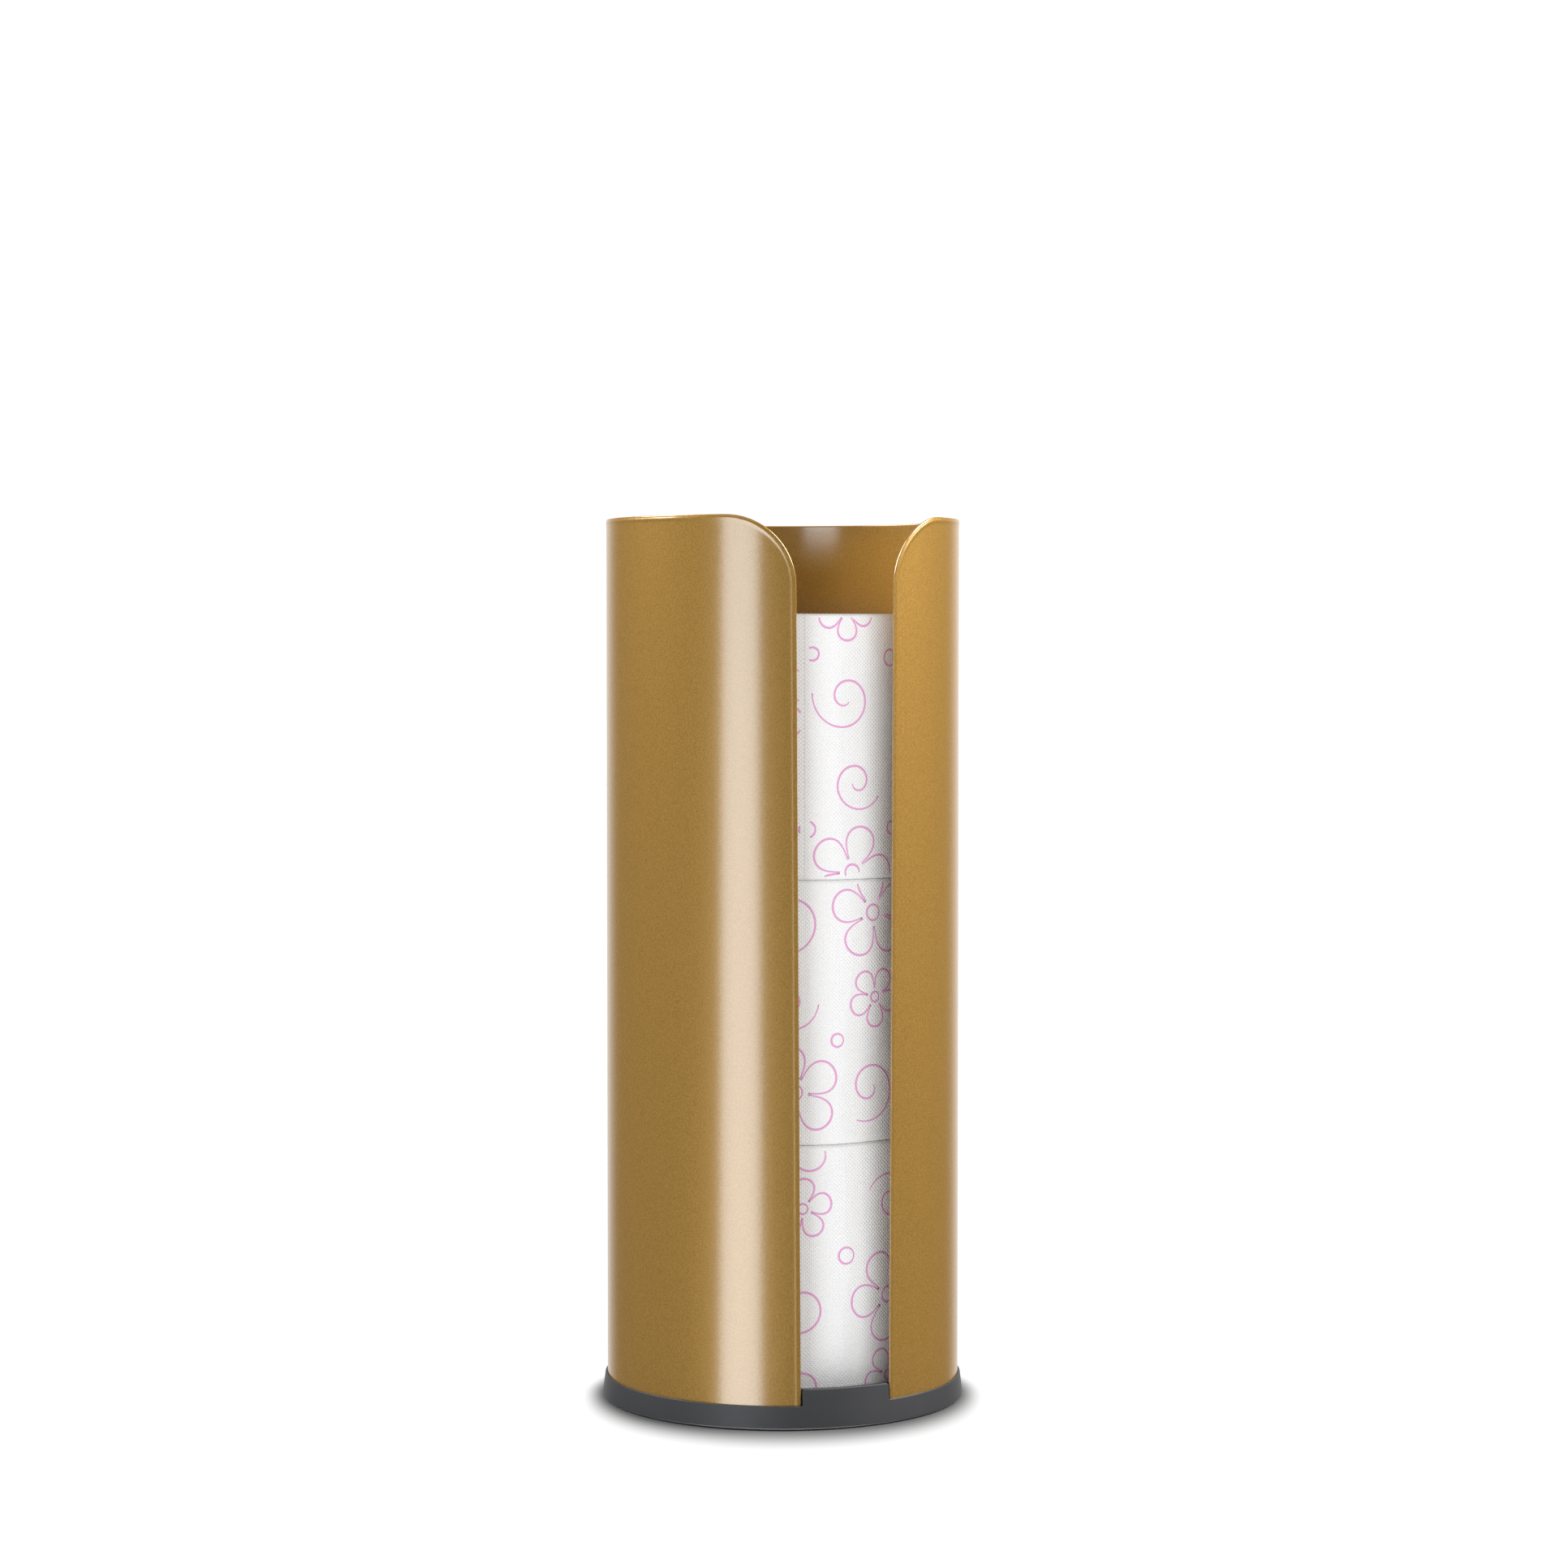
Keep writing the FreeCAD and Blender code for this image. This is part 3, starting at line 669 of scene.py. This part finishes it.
def paper_piece(roll, materials):
    """The wound paper with its loose end, soft edges and layered ends."""
    foot_depths = layer_depths(f"{roll.place} foot")
    top_depths = layer_depths(f"{roll.place} top")
    surface = Surface(unrolled=True)
    lines = []
    for turn in roll.turns():
        line = []
        for radius, height, along in roll_section(roll, turn, foot_depths, top_depths):
            place = (turn * roll.radius, along)
            line.append(surface.add_corner(roll.point(turn, radius, height), place))
        lines.append(line)
    side_rows = len(lines[0]) - 1 - 2 * ROLL_END_RINGS
    kinds = [PAPER_END] * ROLL_END_RINGS + [PAPER_SIDE] * side_rows + [PAPER_END] * (ROLL_END_RINGS + 1)
    for here, there in zip(lines, lines[1:]):
        surface.add_strip(here, there, kinds)
    surface.add_strip(lines[-1], lines[0], [PAPER_END] * len(kinds))
    piece = add_piece(f"{roll.body}_sheet", roll.body, surface, materials)
    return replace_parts(piece, f"{roll.body}_paper")


def core_section(low, high, turn):
    """Points (radius, height) round the wall of a core at one turn; the seam steps its inner face."""
    outer = high.x
    inner = outer - CORE_WALL
    foot = low.z + CORE_EDGE
    top = high.z - CORE_EDGE
    points = []
    for height in spread(foot, top, CORE_INNER_ROWS):
        lead = (turn / FULL_TURN + height / CORE_SEAM_LEAD) % 1.0
        step = CORE_SEAM_STEP * smooth_step(lead * CORE_SEAM_STEEPNESS) * (1.0 - lead)
        points.append((inner + step, height))
    points += [(inner + CORE_EDGE, high.z), (outer - CORE_EDGE, high.z)]
    points += [(outer, height) for height in spread(top, foot, CORE_OUTER_ROWS)]
    points += [(outer - CORE_EDGE, low.z), (inner + CORE_EDGE, low.z)]
    return points


def core_piece(roll, material):
    """The cardboard tube inside a roll."""
    low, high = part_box(f"{roll.body}_core")
    surface = Surface()
    lines = []
    for column in range(CORE_COLUMNS):
        turn = FULL_TURN * column / CORE_COLUMNS
        line = []
        for radius, height in core_section(low, high, turn):
            point = (radius * math.cos(turn), radius * math.sin(turn), height)
            line.append(surface.add_corner(point))
        lines.append(line)
    for here, there in zip(lines, lines[1:] + lines[:1]):
        for row in range(len(here)):
            following = (row + 1) % len(here)
            surface.add_face((here[row], here[following], there[following], there[row]))
    piece = add_piece(f"{roll.body}_tube", roll.body, surface, [material])
    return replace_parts(piece, f"{roll.body}_core")


# Print: blossoms, curls and rings drawn as thin strokes on the paper
def away_from(centre, radius, turn):
    """The point at a distance and a direction from a centre."""
    return (centre[0] + radius * math.cos(turn), centre[1] + radius * math.sin(turn))


def petal_stroke(centre, size, angle):
    """Outline of one petal, from its root round the tip and back."""
    points = []
    for share in spread(0.0, 1.0, PETAL_POINTS):
        bow = math.sin(math.pi * share)
        radius = size * (PETAL_ROOT_SHARE + (1.0 - PETAL_ROOT_SHARE) * bow ** PETAL_FULLNESS)
        points.append(away_from(centre, radius, angle + PETAL_HALF_ANGLE * math.cos(math.pi * share)))
    return points


def ring_stroke(centre, size):
    return [away_from(centre, size, FULL_TURN * share) for share in spread(0.0, 1.0, RING_POINTS)]


def blossom_strokes(centre, size, angle):
    strokes = [petal_stroke(centre, size, angle + FULL_TURN * i / PETALS) for i in range(PETALS)]
    return strokes + [ring_stroke(centre, size * BLOSSOM_EYE_SHARE)]


def curl_stroke(centre, size, angle, hand):
    """A spiral that winds inward, to the left for a hand of 1 and to the right for -1."""
    points = []
    for share in spread(0.0, 1.0, CURL_POINTS):
        radius = size * (CURL_EYE_SHARE + (1.0 - CURL_EYE_SHARE) * (1.0 - share) ** CURL_TIGHTNESS)
        points.append(away_from(centre, radius, angle + hand * CURL_TURN * share))
    return points


def tile_strokes(chance, left, low, width):
    """Strokes of one tile, each motif a little off its place."""

    def spot(across, up):
        return (
            left + (across + chance.uniform(-PRINT_JITTER_SHARE, PRINT_JITTER_SHARE)) * width,
            low + (up + chance.uniform(-PRINT_JITTER_SHARE, PRINT_JITTER_SHARE)) * PRINT_TILE_HEIGHT,
        )

    turn = chance.uniform(0.0, FULL_TURN)
    strokes = []
    for across, up, size, own_turn in BLOSSOMS:
        strokes += blossom_strokes(spot(across, up), size, turn + own_turn)
    for across, up, size, own_turn, hand in CURLS:
        strokes.append(curl_stroke(spot(across, up), size, turn + own_turn, hand))
    for across, up, size in RINGS:
        strokes.append(ring_stroke(spot(across, up), size))
    return strokes


def print_strokes(roll):
    """Strokes on the flat sheet: lengths round the roll and heights above its foot."""
    chance = random.Random(f"{roll.place} print")
    width = roll.length_round / PRINT_TILES_ROUND
    shift = chance.random() * width
    rise = chance.random() * PRINT_TILE_HEIGHT
    strokes = []
    for row in PRINT_TILE_ROWS:
        for column in range(PRINT_TILES_ROUND):
            left = shift + (column + PRINT_ROW_OFFSET_SHARE * (row % 2)) * width
            strokes += tile_strokes(chance, left, row * PRINT_TILE_HEIGHT + rise, width)
    return strokes


def on_sheet(roll, stroke):
    """The stretches of a stroke that lie on the side of the roll, clear of its edges and loose end."""
    margin = PAPER_EDGE
    pieces = [[]]
    for along, height in stroke:
        along %= roll.length_round
        inside = margin < height < roll.top - roll.foot - margin
        clear = margin < along < roll.length_round - margin
        near = not pieces[-1] or abs(along - pieces[-1][-1][0]) < roll.length_round / 2.0
        if not (inside and clear and near):
            pieces.append([])
        if inside and clear:
            pieces[-1].append((along, height))
    return [piece for piece in pieces if len(piece) > 2]


def stroke_section(width):
    """Points (across, lift) round a stroke of ink: its flat top and the foot that lies in the paper."""
    half = width / 2.0
    inner = half - PRINT_SHOULDER
    return (
        (-half, PRINT_SHOULDER_LIFT),
        (-inner, PRINT_LIFT),
        (inner, PRINT_LIFT),
        (half, PRINT_SHOULDER_LIFT),
        (half, -PRINT_LIFT),
        (-half, -PRINT_LIFT),
    )


def stroke_ring(surface, roll, points, i):
    """Corners round a stroke at one of its points."""
    along, height = points[i]
    ahead = points[min(i + 1, len(points) - 1)]
    behind = points[max(i - 1, 0)]
    way = Vector((ahead[0] - behind[0], ahead[1] - behind[1])).normalized()
    share = min(max(i / (len(points) - 1), PRINT_END_CLIP), 1.0 - PRINT_END_CLIP)
    taper = PRINT_END_SHARE + (1.0 - PRINT_END_SHARE) * math.sqrt(math.sin(math.pi * share))
    ring = []
    for across, lift in stroke_section(PRINT_STROKE * taper):
        turn = (along - way.y * across) / roll.radius
        level = roll.foot + height + way.x * across
        point = roll.point(turn, roll.reach(turn, level) + lift, level)
        ring.append(surface.add_corner(point, (turn * roll.radius, level)))
    return ring


def print_piece(roll, material):
    """All strokes of one roll, each a thin closed tube that lies in the paper."""
    surface = Surface(unrolled=True)
    for stroke in print_strokes(roll):
        for points in on_sheet(roll, stroke):
            rings = [stroke_ring(surface, roll, points, i) for i in range(len(points))]
            for here, there in zip(rings, rings[1:]):
                surface.add_strip(here, there)
            surface.add_face(rings[0])
            surface.add_face(rings[-1][::-1])
    return add_piece(f"{roll.body}_print", roll.body, surface, [material])


# Carried-over solids
def finish_node(node, material):
    """Gives a solid of the frame its material."""
    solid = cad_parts[node]
    for place in solid.material_slots:
        place.material = material


# Floor, light and camera
def floor_material():
    """A glowing white with a painted soft shadow round the object, longer towards the camera: the floor
    is dark grey near the object and blends into the glow away from it, and the lamps' own shade falls on
    the grey.
    """
    # Grey of the painted shadow near the object.
    grey = (0.12, 0.12, 0.12, 1.0)
    front_way = (-math.sin(VIEW_ANGLE), -math.cos(VIEW_ANGLE), 0.0)
    nodes = Nodes("white_floor")
    place = nodes.place()
    away = nodes.vector("LENGTH", place)["Value"]
    ahead = nodes.vector("DOT_PRODUCT", place, front_way)["Value"]
    front = nodes.math("POWER", nodes.math("MAXIMUM", nodes.math("DIVIDE", ahead, away), 0.0), 2.0)
    end = nodes.between(front, FLOOR_SHADOW_END_SIDE, FLOOR_SHADOW_END_FRONT)
    # Zero near the object, where the painted shadow grey shows, and one where the floor glows plain
    # white.
    far = nodes.window(away, FLOOR_SHADOW_START, end, interpolation_type="SMOOTHSTEP")
    nodes.shade(Base_Color=grey, Roughness=0.9, Specular_IOR_Level=0.0)
    glow = nodes.add("ShaderNodeEmission", {"Color": (*WHITE, 1.0), "Strength": FLOOR_GLOW})
    mixed = nodes.add("ShaderNodeMixShader", {0: far, 1: nodes.shader.outputs[0], 2: glow.outputs[0]})
    nodes.set(nodes.tree.nodes["Material Output"].inputs["Surface"], mixed.outputs[0])
    return nodes.material


def floor_piece():
    """Pale floor that runs out into plain white away from the object."""
    reach = FLOOR_REACH
    corners = [(-reach, -reach, 0.0), (reach, -reach, 0.0), (reach, reach, 0.0), (-reach, reach, 0.0)]
    mesh = bpy.data.meshes.new("floor")
    mesh.from_pydata(corners, [], [(0, 1, 2, 3)])
    mesh.materials.append(floor_material())
    floor = bpy.data.objects.new("floor", mesh)
    SCENE.collection.objects.link(floor)
    floor.visible_glossy = False
    floor.visible_shadow = False
    return floor


def add_softbox(name, bearing, rise, distance, size, radiance, only=None, colour=WHITE):
    """A light panel; bearing runs to the right from the camera's side and rise up from the level."""
    turn = math.radians(bearing) - VIEW_ANGLE
    tilt = math.radians(rise)
    lamp = bpy.data.lights.new(name, "AREA")
    lamp.shape = "RECTANGLE"
    lamp.size, lamp.size_y = size
    lamp.energy = radiance * math.pi * size[0] * size[1]
    lamp.color = colour
    holder = bpy.data.objects.new(name, lamp)
    holder.location = (
        distance * math.cos(tilt) * math.sin(turn),
        -distance * math.cos(tilt) * math.cos(turn),
        LIGHT_AIM + distance * math.sin(tilt),
    )
    holder.rotation_euler = (QUARTER_TURN - tilt, 0.0, turn)
    holder.visible_camera = False
    if only:
        lit = bpy.data.collections.new(f"{name}_lights")
        for piece in only:
            lit.objects.link(piece)
        holder.light_linking.receiver_collection = lit
    SCENE.collection.objects.link(holder)


def add_world():
    """A studio that is white behind the object and grey on the camera's side."""
    world = bpy.data.worlds.new("studio")
    SCENE.world = world
    world.use_nodes = True
    nodes, links = world.node_tree.nodes, world.node_tree.links
    background = nodes["Background"]
    direction = nodes.new("ShaderNodeTexCoord").outputs["Generated"]
    facing = nodes.new("ShaderNodeVectorMath")
    facing.operation = "DOT_PRODUCT"
    links.new(direction, facing.inputs[0])
    facing.inputs[1].default_value = (math.sin(VIEW_ANGLE), math.cos(VIEW_ANGLE), 0.0)
    ramp = nodes.new("ShaderNodeMapRange")
    ramp.interpolation_type = "SMOOTHSTEP"
    links.new(facing.outputs["Value"], ramp.inputs["Value"])
    ramp.inputs["From Min"].default_value, ramp.inputs["From Max"].default_value = STUDIO_CHANGE
    ramp.inputs["To Min"].default_value = STUDIO_FRONT
    ramp.inputs["To Max"].default_value = STUDIO_BACK
    camera_ray = nodes.new("ShaderNodeLightPath").outputs["Is Camera Ray"]
    brightest = nodes.new("ShaderNodeMath")
    brightest.operation = "MAXIMUM"
    links.new(ramp.outputs["Result"], brightest.inputs[0])
    links.new(camera_ray, brightest.inputs[1])
    links.new(brightest.outputs[0], background.inputs["Strength"])
    background.inputs["Color"].default_value = (*WHITE, 1.0)


def add_panels(floor, holder, rolls):
    """Light panels, some of which light only a part of the object."""
    base = holder[1:]
    lit = holder + [floor]
    add_softbox(
        "left_strip", bearing=-26.7, rise=-17.0, distance=1.3, size=(0.58, 1.6), radiance=3.2,
        colour=COOL_WHITE,
    )
    add_softbox(
        "left_panel", bearing=-95.0, rise=40.0, distance=1.6, size=(1.0, 1.0), radiance=8.5,
        only=lit,
    )
    add_softbox(
        "right_panel", bearing=86.0, rise=40.0, distance=1.6, size=(1.0, 1.0), radiance=16.8,
        only=lit,
    )
    add_softbox(
        "top_panel", bearing=180.0, rise=80.0, distance=1.6, size=(1.0, 1.0), radiance=1.4,
    )
    add_softbox(
        "paper_panel", bearing=28.0, rise=24.0, distance=1.5, size=(1.6, 1.2), radiance=2.4,
        only=rolls,
    )
    add_softbox(
        "base_edge_panel", bearing=0.0, rise=-80.0, distance=1.2, size=(1.4, 0.6), radiance=9.0,
        only=base,
    )
    add_softbox(
        "base_rim_panel", bearing=0.0, rise=84.0, distance=1.4, size=(1.2, 0.6), radiance=4.0,
        only=base,
    )


def add_camera():
    """The camera of the photograph."""
    camera = bpy.data.cameras.new("camera")
    camera.lens = CAMERA_LENS
    camera.sensor_width = CAMERA_SENSOR
    holder = bpy.data.objects.new("camera", camera)
    holder.location = (
        -CAMERA_DISTANCE * math.sin(VIEW_ANGLE),
        -CAMERA_DISTANCE * math.cos(VIEW_ANGLE),
        CAMERA_HEIGHT,
    )
    holder.rotation_euler = (QUARTER_TURN - CAMERA_TILT, 0.0, -VIEW_ANGLE - CAMERA_PAN)
    SCENE.collection.objects.link(holder)
    SCENE.camera = holder


def make_object():
    """Builds every piece and returns those of the holder and those of the rolls."""
    shell = shell_piece(coating_material())
    finish_node("base", plastic_material())
    rubber = rubber_material()
    for node in PAD_NODES:
        finish_node(node, rubber)
    white = white_tissue_material()
    pink = pink_print_material()
    ends = roll_end_material()
    board = board_material()
    rolls = []
    for place in TAIL_ANGLES:
        roll = Roll(place)
        rolls.append(paper_piece(roll, [white, ends]))
        rolls.append(print_piece(roll, pink))
        rolls.append(core_piece(roll, board))
    return [shell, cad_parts["base"]], rolls


def make_stage(holder, rolls):
    """Sets up the floor, the light and the camera."""
    SCENE.view_settings.view_transform = "Standard"
    floor = floor_piece()
    add_world()
    add_panels(floor, holder, rolls)
    add_camera()


make_stage(*make_object())
